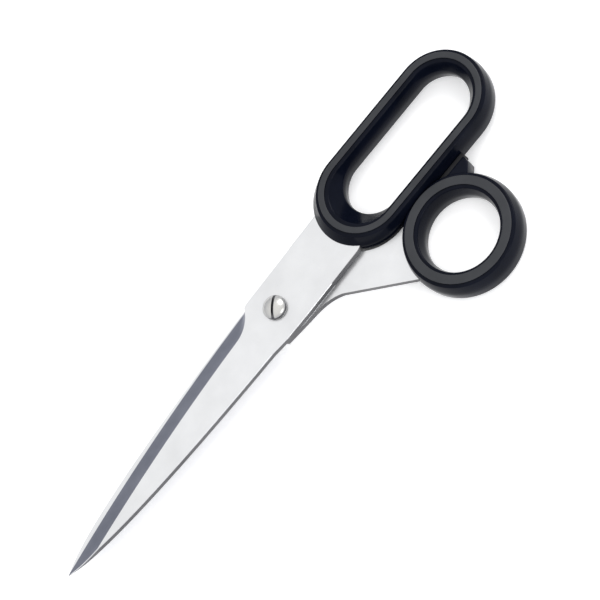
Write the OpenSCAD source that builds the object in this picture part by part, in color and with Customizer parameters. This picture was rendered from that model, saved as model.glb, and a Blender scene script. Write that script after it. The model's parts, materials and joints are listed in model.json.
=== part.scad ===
// Right-handed fabric shears, closed.
// Everything is laid out round the pivot: X runs to the tip, Y to the thumb bow, Z out of the screw head.
// place() then moves the origin to the middle of the underside.

/* [Blades] */
// Pivot centre to blade tip
blade_reach = 124.7; // [115:0.1:135]
// Thickness of each steel plate
plate_t = 2.6; // [2.2:0.1:3]
// Gap between the two plates
plate_gap = 0.1; // [0.06:0.02:0.2]
// Half width of the plate at the pivot, on its spine side
spine_half = 12.4; // [12:0.1:13]
// Half width of the plate at the pivot, on its edge side
edge_half = 11.2; // [10.8:0.1:11.6]
// Radius of the long curve of the cutting edge
edge_r = 890; // [700:10:890]
// Width of the hollow-ground bevel
bevel_w = 6.1; // [5:0.1:7]
// Thickness left at the cutting edge
edge_t = 0.25; // [0.15:0.05:0.4]

/* [Bows] */
// Thickness of both bows, from the flat back to the rim
bow_t = 10.35; // [9.8:0.05:11]
// How far the rims stand above the face of their own steel plate
rim_up = 3.7; // [3.4:0.1:4]
// Outer radius of the finger bow's ends
finger_r = 19.45; // [19.2:0.05:19.6]
// Distance between the centres of the finger bow's ends
finger_span = 46.1; // [42:0.1:50]
// Lean of the finger bow towards the thumb bow, in degrees
finger_lean = 1.4; // [0:0.1:2]
// Radius of the ends of the finger hole at its narrowest
finger_hole_r = 11.8; // [11.2:0.1:12]
// Outer radius of the thumb bow
thumb_r = 23.4; // [23:0.1:23.6]
// Radius of the thumb hole at its narrowest
thumb_hole_r = 14.9; // [14.5:0.1:15]

/* [Pivot] */
// Diameter of the screw head
head_d = 9.2; // [8:0.1:11]
// Height of the screw head
head_h = 3.0; // [2.4:0.1:3.6]
// Diameter of the plain shoulder that the front blade turns on
shoulder_d = 6; // [5.6:0.1:6.4]
// Diameter of the threaded end
thread_d = 5; // [4:0.1:5]
// Width across the flats of the nut
nut_af = 8; // [7.5:0.1:9]

/* [Hidden] */

ROUND = 96;
ARC_STEPS = 24;
END_STEPS = 32;
STEEL = [0.86, 0.87, 0.88];
BLACK = [0.13, 0.13, 0.15];
big = 300;
over = 1;
face = plate_gap / 2;
back = face + plate_t;

// The finger bow's near end, and its local frame: +X to its far end, -Y to the thumb side.
finger_at = [-51.45, -0.72];
finger_far = finger_at + finger_span * [-cos(finger_lean), sin(finger_lean)];
thumb_at = [-63.6, 40.22];
bow_gap = 0.3;
finger_top = back + rim_up;
thumb_top = -face + rim_up;
thumb_base = thumb_top - bow_t;

// The cutting edge is an arc from the heel to the tip.
heel = [11.75, -10.2];
tip = [blade_reach, 0];
chord = tip - heel;
chord_l = norm(chord);
chord_n = [-chord[1], chord[0]] / chord_l;
edge_c = (heel + tip) / 2 + chord_n * sqrt(edge_r * edge_r - chord_l * chord_l / 4);
edge_from = atan2(heel[1] - edge_c[1], heel[0] - edge_c[0]);
edge_to = atan2(tip[1] - edge_c[1], tip[0] - edge_c[0]);
hollow = 0.25;
runout_r = 14.2;
runout_at = [19.25, -18.1];

// Plates: outlines behind the ground blades, and the holes that the bows are moulded through.
tang_outline = [[-5.9, -edge_half], [-5.9, spine_half], [-36, spine_half],
                [-42.5, 9], [-42.5, -7], [-36, -edge_half]];
arm_outline = [[7.5, 11.3], [-4, 12.6], [-11, 13.3], [-15.5, 14.6], [-19.5, 17],
               [-40.6, 38.2], [-52, 44], [-60, 20], [-31, 0],
               [-28.5, -edge_half], [6, -edge_half]];
tang_anchors = [[-39, -4], [-39, 6]];
arm_anchor = [-45.5, 32];
anchor_r = 1.5;
arm_gap = 0.8;
arm_end_r = 17.5;
lug_root_r = 19.5;
heel_back = 6;

// The rim stands proud of a shoulder on both sides, and the flanks spread down to the middle.
rim_step = 0.7;
rim_inset = 2.3;
rim_from_hole = 2.95;
thumb_rim_inset = 2.5;
shoulder_drop = 0.9;
land_h = 3;
mid_drop = bow_t / 2;
back_in = 0.3;
// Finger bow sections: near and far centre along the bow, radius, and depth below the rim.
finger_sections = [
    [0.2, finger_span, finger_r - back_in, bow_t],
    [0, finger_span, finger_r, mid_drop],
    [2.0, finger_span + 0.5, finger_r - 1.25, shoulder_drop],
    [2.3, finger_span + 0.6, finger_r - rim_inset, rim_step],
    [2.3, finger_span + 0.6, finger_r - rim_inset, 0],
    [2.3, finger_span + 0.6, finger_hole_r + rim_from_hole, 0],
    [2.3, finger_span + 0.6, finger_hole_r + rim_from_hole, rim_step],
    [2.9, finger_span + 0.4, finger_hole_r + 2.0, shoulder_drop],
    [7.3, finger_span - 1.2, finger_hole_r, mid_drop],
    [6.9, finger_span - 0.9, finger_hole_r + 0.5, bow_t]
];

// The stop lug reaches from the thumb bow along the finger bow's side.
lug_top = 1.5;
lug_base = -5.5;
lug_from = 19;
lug_to = 35;
buffer_t = 1.9;
buffer_gap = 0.3;
buffer_from = 23.2;
buffer_top = 0.8;
buffer_base = -4;
buffer_y = finger_r + buffer_gap;
stem_r = 1.2;
stem_l = 2.5;
stem_x = 30;
stem_z = -1.6;

shoulder_gap = 0.04;
head_gap = 0.05;
slot_w = 1.0;
slot_h = 1.3;
slot_turn = 38;
washer_r = 7;
washer_t = 0.5;
spring_t = 0.6;
nut_h = 2.5;
end_h = 0.5;
recess_gap = 0.1;
spring_rim = 0.2;
head_wall = 0.45;

function cubic(a, b, c, d, n) = [for (i = [0 : n]) let (t = i / n, s = 1 - t)
    s*s*s * a + 3*s*s*t * b + 3*s*t*t * c + t*t*t * d];
function edge_arc(n) = [for (i = [0 : n]) let (a = edge_from + (edge_to - edge_from) * i / n)
    edge_c + edge_r * [cos(a), sin(a)]];
function spine_curve(n) = cubic(tip, [tip[0] - 10.7, 6], [tip[0] - 54.7, 9.6], [14, 11.2], n);
// A stadium's outline: half turns about the two centres, n points each.
function stadium(s, n) = [for (e = [0, 1], i = [0 : n - 1]) let (a = 90 + 180 * e + 180 * i / (n - 1))
    [s[e] + s[2] * cos(a), s[2] * sin(a), finger_top - s[3]]];

screw_end = -back - spring_t - nut_h - end_h;
low = [finger_far[0] - finger_r, finger_at[1] - finger_r, min(thumb_base, screw_end)];
high = [blade_reach, thumb_at[1] + thumb_r];

module place() translate([-(low[0] + high[0]) / 2, -(low[1] + high[1]) / 2, -low[2]]) children();
module finger_frame() translate(finger_at) rotate(180 - finger_lean) children();

// A closed ring through a list of stadium sections.
module loft_ring(sections, n) {
    m = len(sections);
    k = 2 * n;
    points = [for (s = sections) each stadium(s, n)];
    faces = [for (i = [0 : m - 1], j = [0 : k - 1]) let (u = (i + 1) % m, v = (j + 1) % k)
        each [[i*k + j, u*k + j, u*k + v], [i*k + j, u*k + v, i*k + v]]];
    polyhedron(points, faces, convexity = 6);
}

module finger_envelope(extra) {
    finger_frame() translate([0, 0, -big / 2]) {
        cylinder(h = big, r = finger_r + extra, $fn = ROUND);
        translate([finger_span, 0, 0]) cylinder(h = big, r = finger_r + extra, $fn = ROUND);
        translate([0, -finger_r - extra, 0]) cube([finger_span, 2 * (finger_r + extra), big]);
    }
}

// Blade outline with the cutting edge on -Y, from the heel outwards.
module blade_outline() {
    polygon(concat([[-heel_back, -edge_half], [heel_back, -edge_half + 0.2]],
                   edge_arc(ARC_STEPS), spine_curve(ARC_STEPS),
                   [[heel_back, spine_half - 0.3], [-heel_back, spine_half]]));
}

// What the grinding wheel takes off the outer face along the edge.
module bevel_cut() {
    top = plate_t + over;
    intersection() {
        translate(edge_c) rotate(-91) rotate_extrude(angle = 12, $fn = 720)
            polygon([[edge_r - bevel_w, plate_t],
                     [edge_r - bevel_w / 2, (plate_t + edge_t) / 2 - hollow],
                     [edge_r, edge_t], [edge_r + 5, edge_t],
                     [edge_r + 5, top], [edge_r - bevel_w, top]]);
        translate([0, 0, -over]) linear_extrude(top + 2 * over) union() {
            translate(runout_at) circle(runout_r, $fn = ROUND);
            translate([runout_at[0], -big / 2]) square([big, big]);
        }
    }
}

module ground_blade() {
    difference() {
        linear_extrude(plate_t) blade_outline();
        bevel_cut();
    }
}

module front_plate() {
    translate([0, 0, face]) difference() {
        union() {
            ground_blade();
            linear_extrude(plate_t) polygon(tang_outline);
        }
        for (a = tang_anchors) translate([a[0], a[1], -over])
            cylinder(h = plate_t + 2 * over, r = anchor_r, $fn = ROUND);
    }
}

module front_blade() {
    color(STEEL) place() difference() {
        front_plate();
        translate([0, 0, -over]) cylinder(h = big, d = shoulder_d + 2 * shoulder_gap, $fn = ROUND);
        translate([0, 0, -over]) cylinder(h = over + face + washer_t, r = washer_r + recess_gap, $fn = ROUND);
    }
}

module back_arm() {
    difference() {
        linear_extrude(plate_t) polygon(arm_outline);
        finger_envelope(arm_gap);
        translate([thumb_at[0], thumb_at[1], -over]) cylinder(h = big, r = arm_end_r, $fn = ROUND);
        translate([arm_anchor[0], arm_anchor[1], -over]) cylinder(h = big, r = anchor_r, $fn = ROUND);
    }
}

module back_plate() {
    union() {
        rotate([180, 0, 0]) translate([0, 0, face]) ground_blade();
        translate([0, 0, -back]) back_arm();
    }
}

module back_blade() {
    color(STEEL) place() difference() {
        back_plate();
        translate([0, 0, -big / 2]) cylinder(h = big, d = thread_d, $fn = ROUND);
    }
}

module finger_bow() {
    color(BLACK) place() difference() {
        finger_frame() loft_ring(finger_sections, END_STEPS);
        front_plate();
    }
}

// The narrowest stretch of the thumb hole is a true cylinder.
module thumb_ring() {
    middle = thumb_top - mid_drop;
    rim_out = thumb_r - thumb_rim_inset;
    rim_in = thumb_hole_r + thumb_rim_inset;
    rotate_extrude($fn = ROUND) polygon([
        [thumb_r - back_in, thumb_base], [thumb_r, middle],
        [rim_out + 1.2, thumb_top - shoulder_drop], [rim_out, thumb_top - rim_step], [rim_out, thumb_top],
        [rim_in, thumb_top], [rim_in, thumb_top - rim_step], [rim_in - 1.5, thumb_top - shoulder_drop],
        [thumb_hole_r, middle + land_h / 2], [thumb_hole_r, middle - land_h / 2],
        [thumb_hole_r + 1, thumb_base]]);
}

module stop_lug() {
    side = -buffer_y - buffer_t;
    difference() {
        finger_frame() translate([0, 0, lug_base]) linear_extrude(lug_top - lug_base)
            polygon([[lug_from, side], [lug_to - 0.1, side], [lug_to + 0.2, side - 1],
                     [lug_to - 0.2, side - 3], [lug_to - 3.2, side - 5.6],
                     [lug_to - 8, side - 10.4], [lug_from, side - 8.4]]);
        translate([thumb_at[0], thumb_at[1], -big / 2]) cylinder(h = big, r = lug_root_r, $fn = ROUND);
    }
}

module buffer_pad() {
    round_r = buffer_t / 2;
    finger_frame() {
        translate([0, -buffer_y - buffer_t, buffer_base]) {
            translate([buffer_from, 0, 0])
                cube([lug_to - buffer_from, buffer_t, buffer_top - buffer_base]);
            translate([lug_to, round_r, 0])
                cylinder(h = buffer_top - buffer_base, r = round_r, $fn = ROUND);
        }
        translate([stem_x, -buffer_y - round_r, stem_z]) rotate([90, 0, 0])
            cylinder(h = round_r + stem_l, r = stem_r, $fn = ROUND);
    }
}

module thumb_bow() {
    color(BLACK) place() difference() {
        union() {
            translate(thumb_at) thumb_ring();
            stop_lug();
        }
        finger_envelope(bow_gap);
        back_plate();
        buffer_pad();
    }
}

module stop_buffer() {
    color(BLACK) place() buffer_pad();
}

module pivot_screw() {
    under = back + head_gap;
    wall = head_h * head_wall;
    dome = head_h - wall;
    ball = (head_d * head_d / 4 + dome * dome) / (2 * dome);
    color(STEEL) place() difference() {
        union() {
            translate([0, 0, under]) cylinder(h = wall, d = head_d, $fn = ROUND);
            intersection() {
                translate([0, 0, under + wall + dome - ball]) sphere(ball, $fn = ROUND);
                translate([0, 0, under + wall]) cylinder(h = dome, d = head_d, $fn = ROUND);
            }
            translate([0, 0, -face]) cylinder(h = under + face, d = shoulder_d, $fn = ROUND);
            translate([0, 0, screw_end])
                cylinder(h = -face - screw_end, d = thread_d, $fn = ROUND);
        }
        rotate(slot_turn) translate([-head_d, -slot_w / 2, under + head_h - slot_h])
            cube([2 * head_d, slot_w, head_h]);
    }
}

module friction_washer() {
    color("ivory") place() translate([0, 0, -face]) difference() {
        cylinder(h = washer_t + face, r = washer_r, $fn = ROUND);
        translate([0, 0, -over]) cylinder(h = big, d = shoulder_d + 2 * shoulder_gap, $fn = ROUND);
    }
}

module spring_washer() {
    color(STEEL) place() translate([0, 0, -back - spring_t]) difference() {
        cylinder(h = spring_t, r = head_d / 2 + spring_rim, $fn = ROUND);
        translate([0, 0, -over]) cylinder(h = big, d = thread_d, $fn = ROUND);
    }
}

module pivot_nut() {
    color(STEEL) place() translate([0, 0, -back - spring_t - nut_h]) difference() {
        rotate(30) cylinder(h = nut_h, r = nut_af / sqrt(3), $fn = 6);
        translate([0, 0, -over]) cylinder(h = big, d = thread_d, $fn = ROUND);
    }
}

front_blade();
back_blade();
finger_bow();
thumb_bow();
stop_buffer();
pivot_screw();
friction_washer();
spring_washer();
pivot_nut();
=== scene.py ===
"""Fabric shears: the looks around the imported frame.

Lengths are in millimetres in the shears' own layout (origin at the pivot, +X to the tip, +Y to the
thumb bow, +Z out of the screw head) until at() turns them into metres in the row frame.
"""
import json
import math

import bmesh
import bpy
from mathutils import Matrix, Vector


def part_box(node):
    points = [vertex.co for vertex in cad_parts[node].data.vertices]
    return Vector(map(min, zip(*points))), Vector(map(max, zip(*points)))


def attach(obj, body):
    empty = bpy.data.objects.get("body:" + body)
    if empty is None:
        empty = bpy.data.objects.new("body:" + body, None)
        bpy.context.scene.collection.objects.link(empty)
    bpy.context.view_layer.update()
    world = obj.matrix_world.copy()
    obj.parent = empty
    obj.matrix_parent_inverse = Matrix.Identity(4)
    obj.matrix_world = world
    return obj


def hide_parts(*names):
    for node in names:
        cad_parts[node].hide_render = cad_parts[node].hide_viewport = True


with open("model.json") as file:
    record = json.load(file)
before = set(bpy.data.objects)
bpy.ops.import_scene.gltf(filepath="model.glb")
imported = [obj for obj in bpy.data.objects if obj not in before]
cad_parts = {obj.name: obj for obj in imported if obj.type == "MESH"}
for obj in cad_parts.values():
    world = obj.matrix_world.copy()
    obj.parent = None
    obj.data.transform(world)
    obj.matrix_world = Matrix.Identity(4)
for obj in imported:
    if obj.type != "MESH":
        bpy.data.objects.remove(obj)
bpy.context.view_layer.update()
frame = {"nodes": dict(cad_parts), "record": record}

MM = 0.001
PIVOT = Vector(frame["record"]["behaviour"]["joints"][0]["pos_m"])
FRONT, BACK = "front_half", "back_half"


def at(x, y, z=0.0):
    """A point of the pivot layout in the row frame, in metres."""
    return PIVOT + Vector((x, y, z)) * MM


# ---------------------------------------------------------------- sizes taken from the CAD boxes
def layout_box(node):
    """A node's box in the pivot layout, in millimetres."""
    low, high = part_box(node)
    return [(Vector(corner) - PIVOT) / MM for corner in (low, high)]


FINGER_LOW, FINGER_HIGH = layout_box("finger_bow")
THUMB_LOW, THUMB_HIGH = layout_box("thumb_bow")
FRONT_LOW, FRONT_HIGH = layout_box("front_blade")
SCREW_LOW, SCREW_HIGH = layout_box("pivot_screw")
NUT_LOW, NUT_HIGH = layout_box("pivot_nut")
SPRING_LOW, SPRING_HIGH = layout_box("spring_washer")
WASHER_HIGH = layout_box("friction_washer")[1]

FINGER_TOP, FINGER_BASE = FINGER_HIGH.z, FINGER_LOW.z
THUMB_TOP, THUMB_BASE = THUMB_HIGH.z, THUMB_LOW.z
TIP_X = FRONT_HIGH.x
FACE = FRONT_LOW.z
PLATE_T = FRONT_HIGH.z - FRONT_LOW.z
SPINE_HALF = FRONT_HIGH.y
EDGE_HALF = -FRONT_LOW.y

FINGER_R = 19.45
FINGER_SPAN = 46.1
FINGER_RIM_OUT, FINGER_RIM_IN, FINGER_HOLE_R = 17.15, 14.75, 11.8
SHOULDER_W = 1.2
FINGER_LEAN = math.radians(1.4)
FINGER_AT = Vector((-51.45, -0.72))
FINGER_DIR = Vector((-math.cos(FINGER_LEAN), math.sin(FINGER_LEAN)))
FINGER_SIDE = Vector((FINGER_DIR.y, -FINGER_DIR.x))
THUMB_R = 23.4
THUMB_AT = Vector((-63.6, THUMB_HIGH.y - THUMB_R))
THUMB_HOLE_R = 14.9
THUMB_RIM_OUT, THUMB_RIM_IN = THUMB_HOLE_R + 6.0, THUMB_HOLE_R + 2.5
BOW_GAP = 0.3
RIM_STEP = 0.7
SHOULDER_DROP = 0.9
BUFFER_NEAR = FINGER_R + 0.3
BUFFER_FAR = BUFFER_NEAR + 1.9
LUG_END = 35.0

TANG_END = -42.5
TANG_SHOULDER = -36.0
RICASSO_X, RICASSO_HALF = 14.0, 11.2
SHOULDER_HOLE_R = 3.04
THREAD_R = 2.5

EDGE_R = 890.0
HEEL = Vector((11.75, -10.2))
BEVEL_W = 6.1
EDGE_T = 0.25
HOLLOW = 0.25
RUNOUT_R = 14.2
RUNOUT_AT = Vector((19.25, -18.1))
CHAMFER = 0.16


# ---------------------------------------------------------------- mesh helpers
def add_object(name, verts, faces, material, sharp_deg=32.0):
    """A shaded mesh object from points in the pivot layout."""
    mesh = bpy.data.meshes.new(name)
    mesh.from_pydata([at(*v) for v in verts], [], faces)
    bm = bmesh.new()
    bm.from_mesh(mesh)
    bmesh.ops.remove_doubles(bm, verts=bm.verts, dist=1e-7)
    bmesh.ops.recalc_face_normals(bm, faces=bm.faces)
    bm.to_mesh(mesh)
    bm.free()
    obj = bpy.data.objects.new(name, mesh)
    bpy.context.collection.objects.link(obj)
    obj.data.materials.append(material)
    smooth(obj, sharp_deg)
    return obj


def smooth(obj, sharp_deg):
    """Smooth shading with crisp edges above an angle."""
    mesh = obj.data
    mesh.polygons.foreach_set("use_smooth", [True] * len(mesh.polygons))
    mesh.set_sharp_from_angle(angle=math.radians(sharp_deg))
    mesh.update()


def rings_to_faces(rings, closed_rows):
    """Quads between consecutive rings of equal length; closed_rows joins the last ring to the first."""
    n = len(rings[0])
    verts = [v for ring in rings for v in ring]
    last = len(rings) if closed_rows else len(rings) - 1
    faces = []
    for i in range(last):
        a, b = i * n, (i + 1) % len(rings) * n
        for j in range(n):
            k = (j + 1) % n
            faces.append((a + j, a + k, b + k, b + j))
    if not closed_rows:
        faces.append(tuple(range(n)))
        faces.append(tuple(range((len(rings) - 1) * n, len(rings) * n)))
    return verts, faces


def revolved(profile, centre, steps):
    """Rings of (radius, height) points turned about a vertical axis through centre."""
    angles = [2 * math.pi * j / steps for j in range(steps)]
    return [
        [(centre[0] + r * math.cos(a), centre[1] + r * math.sin(a), z) for a in angles]
        for r, z in profile
    ]


def bake_modifiers(obj):
    """Bakes an object's modifiers into its mesh."""
    graph = bpy.context.evaluated_depsgraph_get()
    mesh = bpy.data.meshes.new_from_object(obj.evaluated_get(graph))
    obj.modifiers.clear()
    old = obj.data
    obj.data = mesh
    bpy.data.meshes.remove(old)


def boolean(obj, tool, operation):
    """Cuts or joins obj with tool, and removes the tool."""
    mod = obj.modifiers.new("cut", "BOOLEAN")
    mod.operation = operation
    mod.solver = "EXACT"
    mod.object = tool
    bake_modifiers(obj)
    bpy.data.objects.remove(tool)


def rounded(obj, width):
    """Rounds an object's hard edges."""
    mod = obj.modifiers.new("round", "BEVEL")
    mod.width = width * MM
    mod.segments = 3
    mod.limit_method = "ANGLE"
    mod.angle_limit = math.radians(40)
    mod.use_clamp_overlap = True
    bake_modifiers(obj)


def prism(name, outline, z0, z1, material):
    """An extruded outline."""
    n = len(outline)
    verts = [(x, y, z) for z in (z0, z1) for x, y in outline]
    faces = [tuple(range(n)), tuple(range(n, 2 * n))]
    faces += [(i, (i + 1) % n, n + (i + 1) % n, n + i) for i in range(n)]
    return add_object(name, verts, faces, material)


def arc(centre, radius, start_deg, end_deg, steps):
    """Points along an arc."""
    out = []
    for i in range(steps + 1):
        a = math.radians(start_deg + (end_deg - start_deg) * i / steps)
        out.append((centre[0] + radius * math.cos(a), centre[1] + radius * math.sin(a)))
    return out


# ---------------------------------------------------------------- materials
def new_material(name):
    mat = bpy.data.materials.new(name)
    mat.use_nodes = True
    nodes = mat.node_tree.nodes
    return mat, mat.node_tree, nodes["Principled BSDF"]


def add_node(tree, kind, **inputs):
    node = tree.nodes.new(kind)
    for key, value in inputs.items():
        node.inputs[key.replace("_", " ")].default_value = value
    return node


def stretched(tree, scale, turn=0.0):
    """Object coordinates, turned about Z and stretched."""
    coords = tree.nodes.new("ShaderNodeTexCoord")
    mapping = tree.nodes.new("ShaderNodeMapping")
    mapping.inputs["Rotation"].default_value = (0, 0, turn)
    mapping.inputs["Scale"].default_value = scale
    tree.links.new(coords.outputs["Object"], mapping.inputs["Vector"])
    return mapping.outputs["Vector"]


def noise(tree, vector, detail, roughness=0.6):
    node = add_node(tree, "ShaderNodeTexNoise", Scale=1.0, Detail=detail, Roughness=roughness)
    tree.links.new(vector, node.inputs["Vector"])
    return node.outputs["Fac"]


def ramp(tree, fac, low, high, start=0.3, end=0.7):
    """Maps a factor to a range of values."""
    node = tree.nodes.new("ShaderNodeMapRange")
    node.inputs["From Min"].default_value = start
    node.inputs["From Max"].default_value = end
    node.inputs["To Min"].default_value = low
    node.inputs["To Max"].default_value = high
    tree.links.new(fac, node.inputs["Value"])
    return node.outputs["Result"]


def tint(tree, fac, low, high):
    node = tree.nodes.new("ShaderNodeMix")
    node.data_type = "RGBA"
    node.inputs[6].default_value = (*low, 1)
    node.inputs[7].default_value = (*high, 1)
    tree.links.new(fac, node.inputs[0])
    return node.outputs[2]


def bump(tree, height, strength, distance, normal=None):
    node = add_node(tree, "ShaderNodeBump", Strength=strength, Distance=distance)
    tree.links.new(height, node.inputs["Height"])
    if normal is not None:
        tree.links.new(normal, node.inputs["Normal"])
    return node.outputs["Normal"]


def ground_steel(name, dark, light, rough, turn, grain, depth):
    """Ground stainless steel: fine parallel scratches, a little cloudiness and small wear marks."""
    mat, tree, shader = new_material(name)
    shader.inputs["Metallic"].default_value = 1.0
    fine = noise(tree, stretched(tree, (grain, grain / 40, grain), turn), 6.0, 0.7)
    cloud = noise(tree, stretched(tree, (60, 60, 60)), 3.0)
    tree.links.new(tint(tree, ramp(tree, cloud, 0.0, 1.0), dark, light), shader.inputs["Base Color"])
    tree.links.new(ramp(tree, fine, rough * 0.8, rough * 1.25), shader.inputs["Roughness"])
    tree.links.new(bump(tree, fine, depth, 0.00002), shader.inputs["Normal"])
    return mat


def moulded_plastic(name, dark, light, rough, gloss):
    """Glossy moulded plastic: faint flow marks, fine scuffs and a soft orange-peel surface."""
    mat, tree, shader = new_material(name)
    shader.inputs["IOR"].default_value = 1.5
    shader.inputs["Specular IOR Level"].default_value = gloss
    flow = noise(tree, stretched(tree, (90, 90, 160)), 3.0)
    peel = noise(tree, stretched(tree, (900, 900, 900)), 2.0)
    scuff = noise(tree, stretched(tree, (2600, 260, 900), 0.6), 5.0, 0.7)
    tree.links.new(tint(tree, ramp(tree, flow, 0.0, 1.0), dark, light), shader.inputs["Base Color"])
    tree.links.new(ramp(tree, scuff, rough * 0.85, rough * 1.3), shader.inputs["Roughness"])
    fine = bump(tree, scuff, 0.05, 0.00002)
    tree.links.new(bump(tree, peel, 0.12, 0.00003, fine), shader.inputs["Normal"])
    return mat


FACE_STEEL = ground_steel("face_steel", (0.72, 0.725, 0.73), (0.80, 0.805, 0.81),
                          0.32, math.radians(8), 9000, 0.25)
# The bevel's steel is a darker, bluish copy of the face steel: painted shade and a painted reflection of
# the dark horizon. Its grind direction and roughness are its own.
SHADED_BEVEL_STEEL = ground_steel("shaded_bevel_steel", (0.17, 0.18, 0.215), (0.23, 0.24, 0.28),
                           0.38, math.radians(-18), 7000, 0.5)
# Near-black steel: painted shade on the plates' walls and on the screw's slot and side wall, and the
# spring washer's whole colour.
SHADE_AND_DARK_STEEL = ground_steel("shade_and_dark_steel", (0.09, 0.09, 0.095), (0.14, 0.14, 0.145),
                          0.34, math.radians(90), 8000, 0.4)
SCREW_STEEL = ground_steel("screw_steel", (0.55, 0.545, 0.52), (0.68, 0.675, 0.65),
                           0.24, math.radians(40), 6000, 0.2)
BOW_PLASTIC = moulded_plastic("bow_plastic", (0.002, 0.003, 0.007), (0.004, 0.0055, 0.012),
                              0.13, 0.08)
# The rim band is a lighter copy of the bow plastic: painted light for the grey its flat top reflects. Its
# higher roughness is its own.
LIT_RIM_PLASTIC = moulded_plastic("lit_rim_plastic", (0.018, 0.020, 0.024), (0.027, 0.029, 0.034),
                              0.34, 0.4)
RUBBER = moulded_plastic("buffer_rubber", (0.010, 0.010, 0.012), (0.018, 0.018, 0.020), 0.55, 0.2)
NYLON = moulded_plastic("washer_nylon", (0.70, 0.69, 0.62), (0.80, 0.79, 0.73), 0.45, 0.5)


# ---------------------------------------------------------------- blades
def edge_centre():
    tip = Vector((TIP_X, 0.0))
    chord = tip - HEEL
    normal = Vector((-chord.y, chord.x)).normalized()
    return (HEEL + tip) / 2 + normal * math.sqrt(EDGE_R**2 - chord.length_squared / 4)


EDGE_C = edge_centre()
SPINE = [Vector((TIP_X, 0)), Vector((TIP_X - 10.7, 6)), Vector((TIP_X - 54.7, 9.6)),
         Vector((RICASSO_X, RICASSO_HALF))]


def edge_y(x):
    """The cutting edge, on the front blade's -Y side."""
    return EDGE_C.y - math.sqrt(EDGE_R**2 - (x - EDGE_C.x) ** 2)


def spine_point(t):
    s = 1 - t
    return s**3 * SPINE[0] + 3 * s * s * t * SPINE[1] + 3 * s * t * t * SPINE[2] + t**3 * SPINE[3]


def spine_y(x):
    """The spine's curve from the tip to the ricasso, found by halving."""
    low, high = 0.0, 1.0
    for _ in range(40):
        mid = (low + high) / 2
        if spine_point(mid).x > x:
            low = mid
        else:
            high = mid
    return spine_point(low).y


def lerp_table(x, table):
    """Straight lines through a short table of points."""
    for (x0, y0), (x1, y1) in zip(table, table[1:]):
        if x <= x1:
            return y0 + (y1 - y0) * max(0.0, (x - x0)) / (x1 - x0)
    return table[-1][1]


def ease(x, x0, x1):
    t = min(1.0, max(0.0, (x - x0) / (x1 - x0)))
    return t * t * (3 - 2 * t)


def blade_low(x):
    """The front blade's -Y side: tang, ricasso, then the cutting edge."""
    if x >= 9.0:
        return edge_y(x)
    return lerp_table(x, [(TANG_END, -7.0), (TANG_SHOULDER, -EDGE_HALF),
                          (6, -EDGE_HALF + 0.2), (9.0, edge_y(9.0))])


def blade_high(x):
    if x >= RICASSO_X:
        return spine_y(x)
    return lerp_table(x, [(TANG_END, 9.0), (TANG_SHOULDER, SPINE_HALF), (-6, SPINE_HALF),
                          (6, SPINE_HALF - 0.3), (RICASSO_X, RICASSO_HALF)])


def bevel_width(x):
    """How far the hollow grind reaches in from the edge, with its curved run-out at the heel."""
    width = BEVEL_W
    if x < RUNOUT_AT.x:
        inside = RUNOUT_R**2 - (x - RUNOUT_AT.x) ** 2
        top = RUNOUT_AT.y + math.sqrt(max(0.0, inside))
        width = min(width, top - blade_low(x))
    return max(width, CHAMFER)


def grind_depth(x):
    """0 on the ricasso, 1 where the bevel runs down to the edge."""
    return ease(x, 6.7, 7.5)


def plate_section(x, low, high, ground):
    """One cross-section of a plate, from the inner corner at the edge round to the spine and back.

    Near the tip the grind is wider than the blade, so it runs out over the spine.
    """
    y0, y1 = low(x), high(x)
    span = y1 - y0
    chamfer = min(CHAMFER, span / 8)
    steps = 8
    width, reach, depth = chamfer, 1.0, 0.0
    if ground:
        depth = grind_depth(x)
        width = bevel_width(x)
        reach = min(1.0, (span - 2 * chamfer) / width)
    foot = (PLATE_T - chamfer) * (1 - depth) + EDGE_T * depth

    def ground_height(f):
        return foot + (PLATE_T - foot) * f - depth * HOLLOW * 4 * f * (1 - f)

    points = [(y0, 0.0), (y0, foot)]
    points += [(y0 + width * reach * k / steps, ground_height(reach * k / steps))
               for k in range(1, steps + 1)]
    thick = ground_height(reach)
    soft = min(chamfer, thick / 3)
    flat0, flat1 = y0 + width * reach, y1 - soft
    points += [(flat0 + (flat1 - flat0) * k / 4, thick) for k in (1, 2, 3)]
    points += [(flat1, thick), (y1, thick - soft), (y1, soft), (y1 - soft, 0.0)]
    points += [(y1 - soft + (y0 - y1 + soft) * k / 4, 0.0) for k in (1, 2, 3)]
    return points


def stations(start, end, dense):
    """Places along X: about every 1.5 mm, with extra ones where the outline turns."""
    count = round((end - start) / 1.5)
    xs = [start + (end - start) * i / count for i in range(count + 1)]
    for low, high, step in dense:
        xs += [low + step * i for i in range(int((high - low) / step) + 1)]
    xs = sorted(x for x in xs if start <= x <= end)
    return [x for i, x in enumerate(xs) if i == 0 or x - xs[i - 1] > 0.02]


def plate(name, xs, low, high, ground, to_layout):
    """A steel plate through its stations. to_layout turns (x, y, z) into the layout."""
    rings = [[to_layout(x, y, z) for y, z in plate_section(x, low, high, ground and x > 6)] for x in xs]
    verts, faces = rings_to_faces(rings, False)
    obj = add_object(name, verts, faces, FACE_STEEL, 14.0)
    # The bevel steel and the near-black steel are painted shade, handed out by paint_plate.
    obj.data.materials.append(SHADED_BEVEL_STEEL)
    obj.data.materials.append(SHADE_AND_DARK_STEEL)
    return obj


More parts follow.
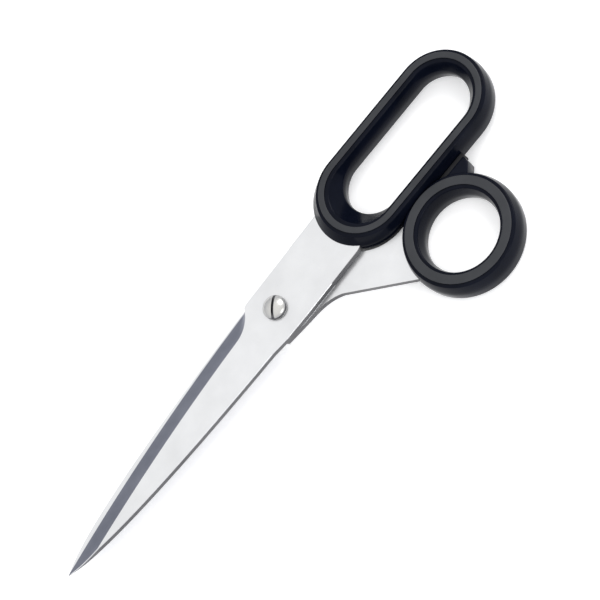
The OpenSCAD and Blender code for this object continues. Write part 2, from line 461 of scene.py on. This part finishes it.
def paint_plate(obj, side):
    """The grind gets the darker bevel steel, painted shade and painted reflection, and the plate's walls
    get the near-black steel as painted shade, by which way faces look. side is +1 for the front blade and
    -1 for the back one."""
    for poly in obj.data.polygons:
        n = poly.normal
        c = (poly.center - PIVOT) / MM
        # The arm's outline runs steeply, so its whole rounded edge counts as wall and gets the painted
        # shade.
        if abs(n.z) < (0.9 if c.x < -20 else 0.5):
            poly.material_index = 2
        elif n.z * side > 0 and n.y * side < -0.12 and c.x > 6.5:
            poly.material_index = 1


def hole(obj, radius, z0=-8, z1=8):
    """Drills a hole or a recess round the pivot."""
    rings = revolved([(radius, z0), (radius, z1)], (0, 0), 96)
    verts, faces = rings_to_faces(rings, False)
    boolean(obj, add_object("drill", verts, faces, FACE_STEEL), "DIFFERENCE")


def make_front_blade():
    xs = stations(TANG_END, TIP_X - 0.15, [(5.8, 20, 0.25), (TIP_X - 6, TIP_X - 0.2, 0.4)])
    obj = plate("front_blade_steel", xs, blade_low, blade_high, True, lambda x, y, z: (x, y, z + FACE))
    hole(obj, SHOULDER_HOLE_R)
    hole(obj, WASHER_HIGH.x + 0.1, -2, WASHER_HIGH.z + 0.05)
    paint_plate(obj, 1)
    smooth(obj, 14.0)
    return obj


ARM_EDGE = [(-46.5, 43.6), (-40.6, 38.2), (-19.5, 17.0)]


def arm_high(x):
    """The back plate's thumb side: the spine of the arm, its fillet, and the ricasso."""
    if x < -45.8:
        return THUMB_AT.y - math.sqrt(max(0.0, 18.0**2 - (x - THUMB_AT.x) ** 2))
    if x < -19.5:
        return lerp_table(x, ARM_EDGE)
    if x < -4:
        t = (x + 19.5) / 15.5
        s = 1 - t
        return s**3 * 17.0 + 3 * s * s * t * 13.4 + 3 * s * t * t * 13.0 + t**3 * 12.6
    if x <= 7.6:
        return lerp_table(x, [(-4, 12.6), (7.6, 11.3)])
    return lerp_table(x, [(7.6, 11.3), (7.9, -blade_low(7.9))]) if x < 7.9 else -blade_low(x)


def arm_low(x):
    """The back plate's finger side: it follows the finger bow's end, then the heel, then the spine."""
    clear = FINGER_R + 0.8
    if x < FINGER_AT.x:
        return FINGER_AT.y + clear + (FINGER_AT.x - x) * math.tan(FINGER_LEAN)
    if x < FINGER_AT.x + clear:
        return FINGER_AT.y + math.sqrt(clear**2 - (x - FINGER_AT.x) ** 2)
    if x < -28.5:
        return lerp_table(x, [(FINGER_AT.x + clear, FINGER_AT.y), (-28.5, -EDGE_HALF)])
    if x <= 6:
        return -EDGE_HALF
    return lerp_table(x, [(6, -EDGE_HALF), (RICASSO_X, -RICASSO_HALF)]) if x < RICASSO_X else -spine_y(x)


def make_back_blade():
    xs = stations(-56.0, TIP_X - 0.15,
                  [(-33, -30.6, 0.08), (-31, -28.2, 0.3), (-22, -2, 0.6), (5.8, 20, 0.25),
                   (TIP_X - 6, TIP_X - 0.2, 0.4)])
    # Worked out upside down, with the edge on -Y, and then turned over.
    obj = plate("back_blade_steel", xs, lambda x: -arm_high(x), lambda x: -arm_low(x), True,
                lambda x, y, z: (x, -y, -z - FACE))
    hole(obj, THREAD_R)
    paint_plate(obj, -1)
    smooth(obj, 14.0)
    return obj


# ---------------------------------------------------------------- bows
def corner(out, before, at_point, after, radius):
    """Adds a rounded corner to a list of (blend, radius, height) profile points."""
    here = Vector(at_point[1:])
    start = here + (Vector(before[1:]) - here).normalized() * radius
    end = here + (Vector(after[1:]) - here).normalized() * radius
    for k in range(5):
        t = k / 4
        p = (1 - t) ** 2 * start + 2 * t * (1 - t) * here + t * t * end
        out.append((at_point[0], p.x, p.y))


def bow_profile(top, base, outer, rim_out, rim_in, inner):
    """A bow's section as a closed loop: flat back, outer flank, shoulder, rim, and down the hole.

    The first value of a point says where it lies between the outer outline (0), the rim (1) and
    the hole (2); the others are its radius and height.
    """
    middle = (top + base) / 2
    step = top - RIM_STEP
    ledge = top - SHOULDER_DROP
    out_edge, in_edge = rim_out + SHOULDER_W, rim_in - SHOULDER_W
    corners = [
        ((0.0, outer - 0.3, base), 0.55),
        ((0.0, outer, middle), 1.6),
        ((0.9, out_edge, ledge), 0.34),
        ((1.0, rim_out, step), 0.1),
        ((1.0, rim_out, top), 0.2),
        ((1.0, rim_in, top), 0.2),
        ((1.0, rim_in, step), 0.1),
        ((1.1, in_edge, ledge), 0.34),
        ((2.0, inner, middle), 1.6),
        ((2.0, inner + 0.6, base), 0.55),
    ]
    out = []
    for i, (point, radius) in enumerate(corners):
        corner(out, corners[i - 1][0], point, corners[(i + 1) % len(corners)][0], radius)
    return out


def section_centres(blend):
    """Where a finger bow section's near and far centres lie along the bow."""
    near = lerp_table(blend, [(0, 0.1), (1, 2.3), (2, 7.1)])
    far = lerp_table(blend, [(0, FINGER_SPAN), (1, FINGER_SPAN + 0.5), (2, FINGER_SPAN - 1.1)])
    return near, far


def finger_point(along, across, z):
    p = FINGER_AT + FINGER_DIR * along + FINGER_SIDE * across
    return (p.x, p.y, z)


def stadium_ring(near, far, radius, z):
    """A ring round a stadium, with more points on its ends than on its sides."""
    ends, sides = 44, 10
    out = []
    for i in range(ends + 1):
        a = math.pi / 2 + math.pi * i / ends
        out.append((near + radius * math.cos(a), radius * math.sin(a)))
    out += [(near + (far - near) * i / sides, -radius) for i in range(1, sides)]
    for i in range(ends + 1):
        a = -math.pi / 2 + math.pi * i / ends
        out.append((far + radius * math.cos(a), radius * math.sin(a)))
    out += [(far + (near - far) * i / sides, radius) for i in range(1, sides)]
    return [finger_point(x, y, z) for x, y in out]


def paint_lit_rim(obj, top):
    """The flat band on top gets the rim's duller finish and a lighter colour, painted light for the grey
    the flat top reflects.
    """
    obj.data.materials.append(LIT_RIM_PLASTIC)
    for poly in obj.data.polygons:
        height = (poly.center - PIVOT).z / MM
        if height > top - 0.3:
            poly.material_index = 1


def make_finger_bow():
    profile = bow_profile(FINGER_TOP, FINGER_BASE, FINGER_R, FINGER_RIM_OUT, FINGER_RIM_IN, FINGER_HOLE_R)
    rings = [stadium_ring(*section_centres(blend), radius, z) for blend, radius, z in profile]
    verts, faces = rings_to_faces(rings, True)
    obj = add_object("finger_bow_moulding", verts, faces, BOW_PLASTIC, 50.0)
    paint_lit_rim(obj, FINGER_TOP)
    return obj


def off_finger_bow(point, gap):
    """Moves a point out of the finger bow's envelope, square to the bow's axis."""
    p = Vector(point[:2]) - FINGER_AT
    along = min(max(p.dot(FINGER_DIR), 0.0), FINGER_SPAN)
    foot = FINGER_DIR * along
    away = p - foot
    limit = FINGER_R + gap
    if away.length >= limit:
        return point
    p = FINGER_AT + foot + away.normalized() * limit
    return (p.x, p.y, point[2])


def lug_outline():
    """The stop lug's outline in the layout: its face lies along the finger bow's side."""
    local = [(19, 0), (LUG_END - 0.1, 0), (LUG_END + 0.2, 1), (LUG_END - 0.2, 3),
             (LUG_END - 3.2, 5.6), (LUG_END - 8, 10.4), (19, 8.4)]
    return [finger_point(x, BUFFER_FAR + y, 0)[:2] for x, y in local]


def buffer_outline(grow):
    """The rubber buffer along the lug's face, with a rounded free end."""
    half = (BUFFER_FAR - BUFFER_NEAR) / 2
    y0, y1 = BUFFER_NEAR - grow, BUFFER_FAR + grow
    end = arc((LUG_END, (y0 + y1) / 2), half + grow, -90, 90, 14)
    return [finger_point(x, y, 0)[:2] for x, y in [(23.2 - grow, y0)] + end + [(23.2 - grow, y1)]]


def make_thumb_bow():
    profile = bow_profile(THUMB_TOP, THUMB_BASE, THUMB_R, THUMB_RIM_OUT, THUMB_RIM_IN, THUMB_HOLE_R)
    rings = revolved([(radius, z) for _, radius, z in profile], THUMB_AT, 144)
    rings = [[off_finger_bow(p, BOW_GAP) for p in ring] for ring in rings]
    verts, faces = rings_to_faces(rings, True)
    obj = add_object("thumb_bow_moulding", verts, faces, BOW_PLASTIC, 50.0)
    lug = prism("lug", lug_outline(), -5.5, 1.5, BOW_PLASTIC)
    rounded(lug, 0.4)
    # The lug must not reach into the loop.
    bore = rings_to_faces(revolved([(19.5, -12), (19.5, 12)], THUMB_AT, 96), False)
    boolean(lug, add_object("bore", *bore, BOW_PLASTIC), "DIFFERENCE")
    boolean(obj, lug, "UNION")
    boolean(obj, prism("pocket", buffer_outline(0.02), -4.02, 0.82, BOW_PLASTIC), "DIFFERENCE")
    smooth(obj, 50.0)
    paint_lit_rim(obj, THUMB_TOP)
    return obj


def make_buffer():
    obj = prism("stop_buffer_rubber", buffer_outline(0.0), -4.0, 0.8, RUBBER)
    rounded(obj, 0.25)
    smooth(obj, 40.0)
    return obj


# ---------------------------------------------------------------- pivot
def thread(z0, z1, radius, pitch):
    """Profile points of a turned thread, drawn as close grooves."""
    out = []
    turns = int((z1 - z0) / pitch)
    for k in range(turns):
        z = z0 + k * pitch
        out += [(radius - 0.28, z + 0.08 * pitch), (radius, z + 0.45 * pitch), (radius, z + 0.6 * pitch)]
    return out


def make_screw():
    top = SCREW_HIGH.z
    head_h, wall = 3.0, 1.35
    under = top - head_h
    head_r, shoulder_r = SCREW_HIGH.x, 3.0
    dome = head_h - wall
    ball = (head_r**2 + dome**2) / (2 * dome)
    profile = [(0.001, SCREW_LOW.z), (2.2, SCREW_LOW.z)]
    profile += thread(SCREW_LOW.z + 0.1, -2.7, THREAD_R, 0.5)
    profile += [(THREAD_R, -2.65), (THREAD_R, -FACE), (shoulder_r, -FACE), (shoulder_r, under)]
    profile += [(head_r - 0.15, under), (head_r, under + 0.15)]
    profile += [(head_r, under + wall - 0.25), (head_r - 0.07, under + wall - 0.08)]
    for k in range(1, 13):
        r = (head_r - 0.22) * (1 - k / 12) + 0.001
        profile.append((r, top - ball + math.sqrt(ball**2 - r**2)))
    verts, faces = rings_to_faces(revolved(profile, (0, 0), 96), False)
    obj = add_object("pivot_screw_turned", verts, faces, SCREW_STEEL, 30.0)
    turn = math.radians(38)
    half = 0.5
    slot = []
    for x, y in ((-6, -half), (6, -half), (6, half), (-6, half)):
        slot.append((x * math.cos(turn) - y * math.sin(turn), x * math.sin(turn) + y * math.cos(turn)))
    boolean(obj, prism("slot", slot, top - 1.3, top + 2, SHADE_AND_DARK_STEEL), "DIFFERENCE")
    # The slot and the head's side wall get the near-black steel as painted shade.
    obj.data.materials.clear()
    obj.data.materials.append(SCREW_STEEL)
    obj.data.materials.append(SHADE_AND_DARK_STEEL)
    across = Vector((-math.sin(turn), math.cos(turn)))
    for poly in obj.data.polygons:
        c = (poly.center - PIVOT) / MM
        in_slot = abs(c.xy.dot(across)) < half + 0.01 and c.z < top - 0.35
        side_wall = abs(poly.normal.z) < 0.5
        poly.material_index = 1 if in_slot or side_wall else 0
    smooth(obj, 30.0)
    return obj


def make_nut():
    """A hexagon nut with its corners turned off and a countersunk thread."""
    steps = 96
    flat = NUT_HIGH.x
    bore = [(THREAD_R, NUT_HIGH.z), (THREAD_R, NUT_LOW.z + 0.3), (THREAD_R + 0.3, NUT_LOW.z)]
    rings = revolved(bore, (0, 0), steps)
    caps = [(flat * 0.97, NUT_LOW.z), (flat * 1.2, NUT_LOW.z + 0.45),
            (flat * 1.2, NUT_HIGH.z - 0.3), (flat, NUT_HIGH.z)]
    for cap, z in caps:
        ring = []
        for j in range(steps):
            a = 2 * math.pi * j / steps
            sector = (a + math.pi / 6) % (math.pi / 3) - math.pi / 6
            r = min(flat / math.cos(sector), cap)
            ring.append((r * math.cos(a), r * math.sin(a), z))
        rings.append(ring)
    verts, faces = rings_to_faces(rings, True)
    return add_object("pivot_nut_hex", verts, faces, SCREW_STEEL, 28.0)


def make_spring():
    """A split ring washer, pressed flat."""
    out_r, in_r = SPRING_HIGH.x, THREAD_R
    z0, z1 = SPRING_LOW.z, SPRING_HIGH.z
    gap = math.radians(7)
    steps = 90
    soft = 0.1
    rings = []
    section = [(in_r, z0 + soft), (in_r + soft, z0), (out_r - soft, z0), (out_r, z0 + soft),
               (out_r, z1 - soft), (out_r - soft, z1), (in_r + soft, z1), (in_r, z1 - soft)]
    for i in range(steps + 1):
        a = gap / 2 + (2 * math.pi - gap) * i / steps
        rings.append([(r * math.cos(a), r * math.sin(a), z) for r, z in section])
    verts, faces = rings_to_faces(rings, False)
    # The washer is drawn in the near-black steel that elsewhere is painted shade.
    return add_object("spring_washer_split", verts, faces, SHADE_AND_DARK_STEEL, 30.0)


# ---------------------------------------------------------------- assembly
def stand_in(obj, body, node):
    """A visual piece takes its CAD node's place."""
    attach(obj, body)
    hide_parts(node)


stand_in(make_front_blade(), FRONT, "front_blade")
stand_in(make_finger_bow(), FRONT, "finger_bow")
stand_in(make_back_blade(), BACK, "back_blade")
stand_in(make_thumb_bow(), BACK, "thumb_bow")
stand_in(make_buffer(), BACK, "stop_buffer")
stand_in(make_screw(), BACK, "pivot_screw")
stand_in(make_spring(), BACK, "spring_washer")
stand_in(make_nut(), BACK, "pivot_nut")
washer = frame["nodes"]["friction_washer"]
washer.data.materials.clear()
washer.data.materials.append(NYLON)


# ---------------------------------------------------------------- floor, light and camera
def make_floor():
    mesh = bpy.data.meshes.new("floor")
    half = 2.5
    corners = [(-half, -half, 0), (half, -half, 0), (half, half, 0), (-half, half, 0)]
    mesh.from_pydata(corners, [], [(0, 1, 2, 3)])
    floor = bpy.data.objects.new("floor", mesh)
    bpy.context.collection.objects.link(floor)
    mat, _, shader = new_material("floor_paper")
    shader.inputs["Base Color"].default_value = (0.93, 0.93, 0.93, 1)
    shader.inputs["Roughness"].default_value = 0.9
    shader.inputs["Emission Color"].default_value = (1, 1, 1, 1)
    shader.inputs["Emission Strength"].default_value = 0.34
    floor.data.materials.append(mat)
    floor.location.z = -0.0006


def add_area(name, place, target, size, power):
    light = bpy.data.lights.new(name, "AREA")
    light.shape = "RECTANGLE"
    light.size, light.size_y = size
    light.energy = power
    obj = bpy.data.objects.new(name, light)
    bpy.context.collection.objects.link(obj)
    obj.location = place
    obj.rotation_euler = (Vector(target) - Vector(place)).to_track_quat("-Z", "Y").to_euler()


def make_world():
    """A soft white tent that darkens towards the horizon, which the flanks and walls look at."""
    world = bpy.data.worlds.new("studio")
    bpy.context.scene.world = world
    world.use_nodes = True
    tree = world.node_tree
    back = tree.nodes["Background"]
    coords = tree.nodes.new("ShaderNodeTexCoord")
    split = tree.nodes.new("ShaderNodeSeparateXYZ")
    tree.links.new(coords.outputs["Generated"], split.inputs["Vector"])
    height = ramp(tree, split.outputs["Z"], 0.0, 1.0, start=0.0, end=1.0)
    tree.links.new(tint(tree, height, (0.50, 0.51, 0.56), (1.0, 1.0, 1.0)), back.inputs["Color"])
    back.inputs["Strength"].default_value = 1.17


TILT = math.radians(30)
AXIS_LEAN = 0.01473
ROLL = math.radians(52.5)
VIEW_WIDTH = 220.32
AIM_ALONG, AIM_ACROSS = 7.82136, 4.07592


def make_camera():
    """The camera leans 30 degrees to the thumb side, rolled so that the tip points down to the left."""
    u = Vector((-1, -AXIS_LEAN, 0)).normalized()
    v = Vector((-AXIS_LEAN, 1, 0)).normalized()
    up_z = Vector((0, 0, 1))
    look_from = v * math.sin(TILT) + up_z * math.cos(TILT)
    across = v * math.cos(TILT) - up_z * math.sin(TILT)
    right = u * math.cos(ROLL) + across * math.sin(ROLL)
    up = u * math.sin(ROLL) - across * math.cos(ROLL)
    target = PIVOT + (u * AIM_ALONG + v * (AIM_ACROSS / math.cos(TILT))) * MM
    data = bpy.data.cameras.new("camera")
    data.sensor_width = 36
    data.lens = 300
    distance = data.lens / data.sensor_width * VIEW_WIDTH * MM
    cam = bpy.data.objects.new("camera", data)
    bpy.context.collection.objects.link(cam)
    place = target + look_from * distance
    basis = Matrix((right, up, look_from)).transposed().to_4x4()
    cam.matrix_world = Matrix.Translation(place) @ basis
    data.clip_end = 20
    bpy.context.scene.camera = cam


make_floor()
make_world()
add_area("far_side", (-0.9, -0.2, 0.9), (-0.05, 0, 0), (0.5, 0.5), 4.0)
add_area("thumb_side", (-0.3, 1.0, 0.8), (-0.05, 0, 0), (0.6, 0.3), 3.0)
make_camera()
bpy.context.scene.view_settings.view_transform = "Standard"
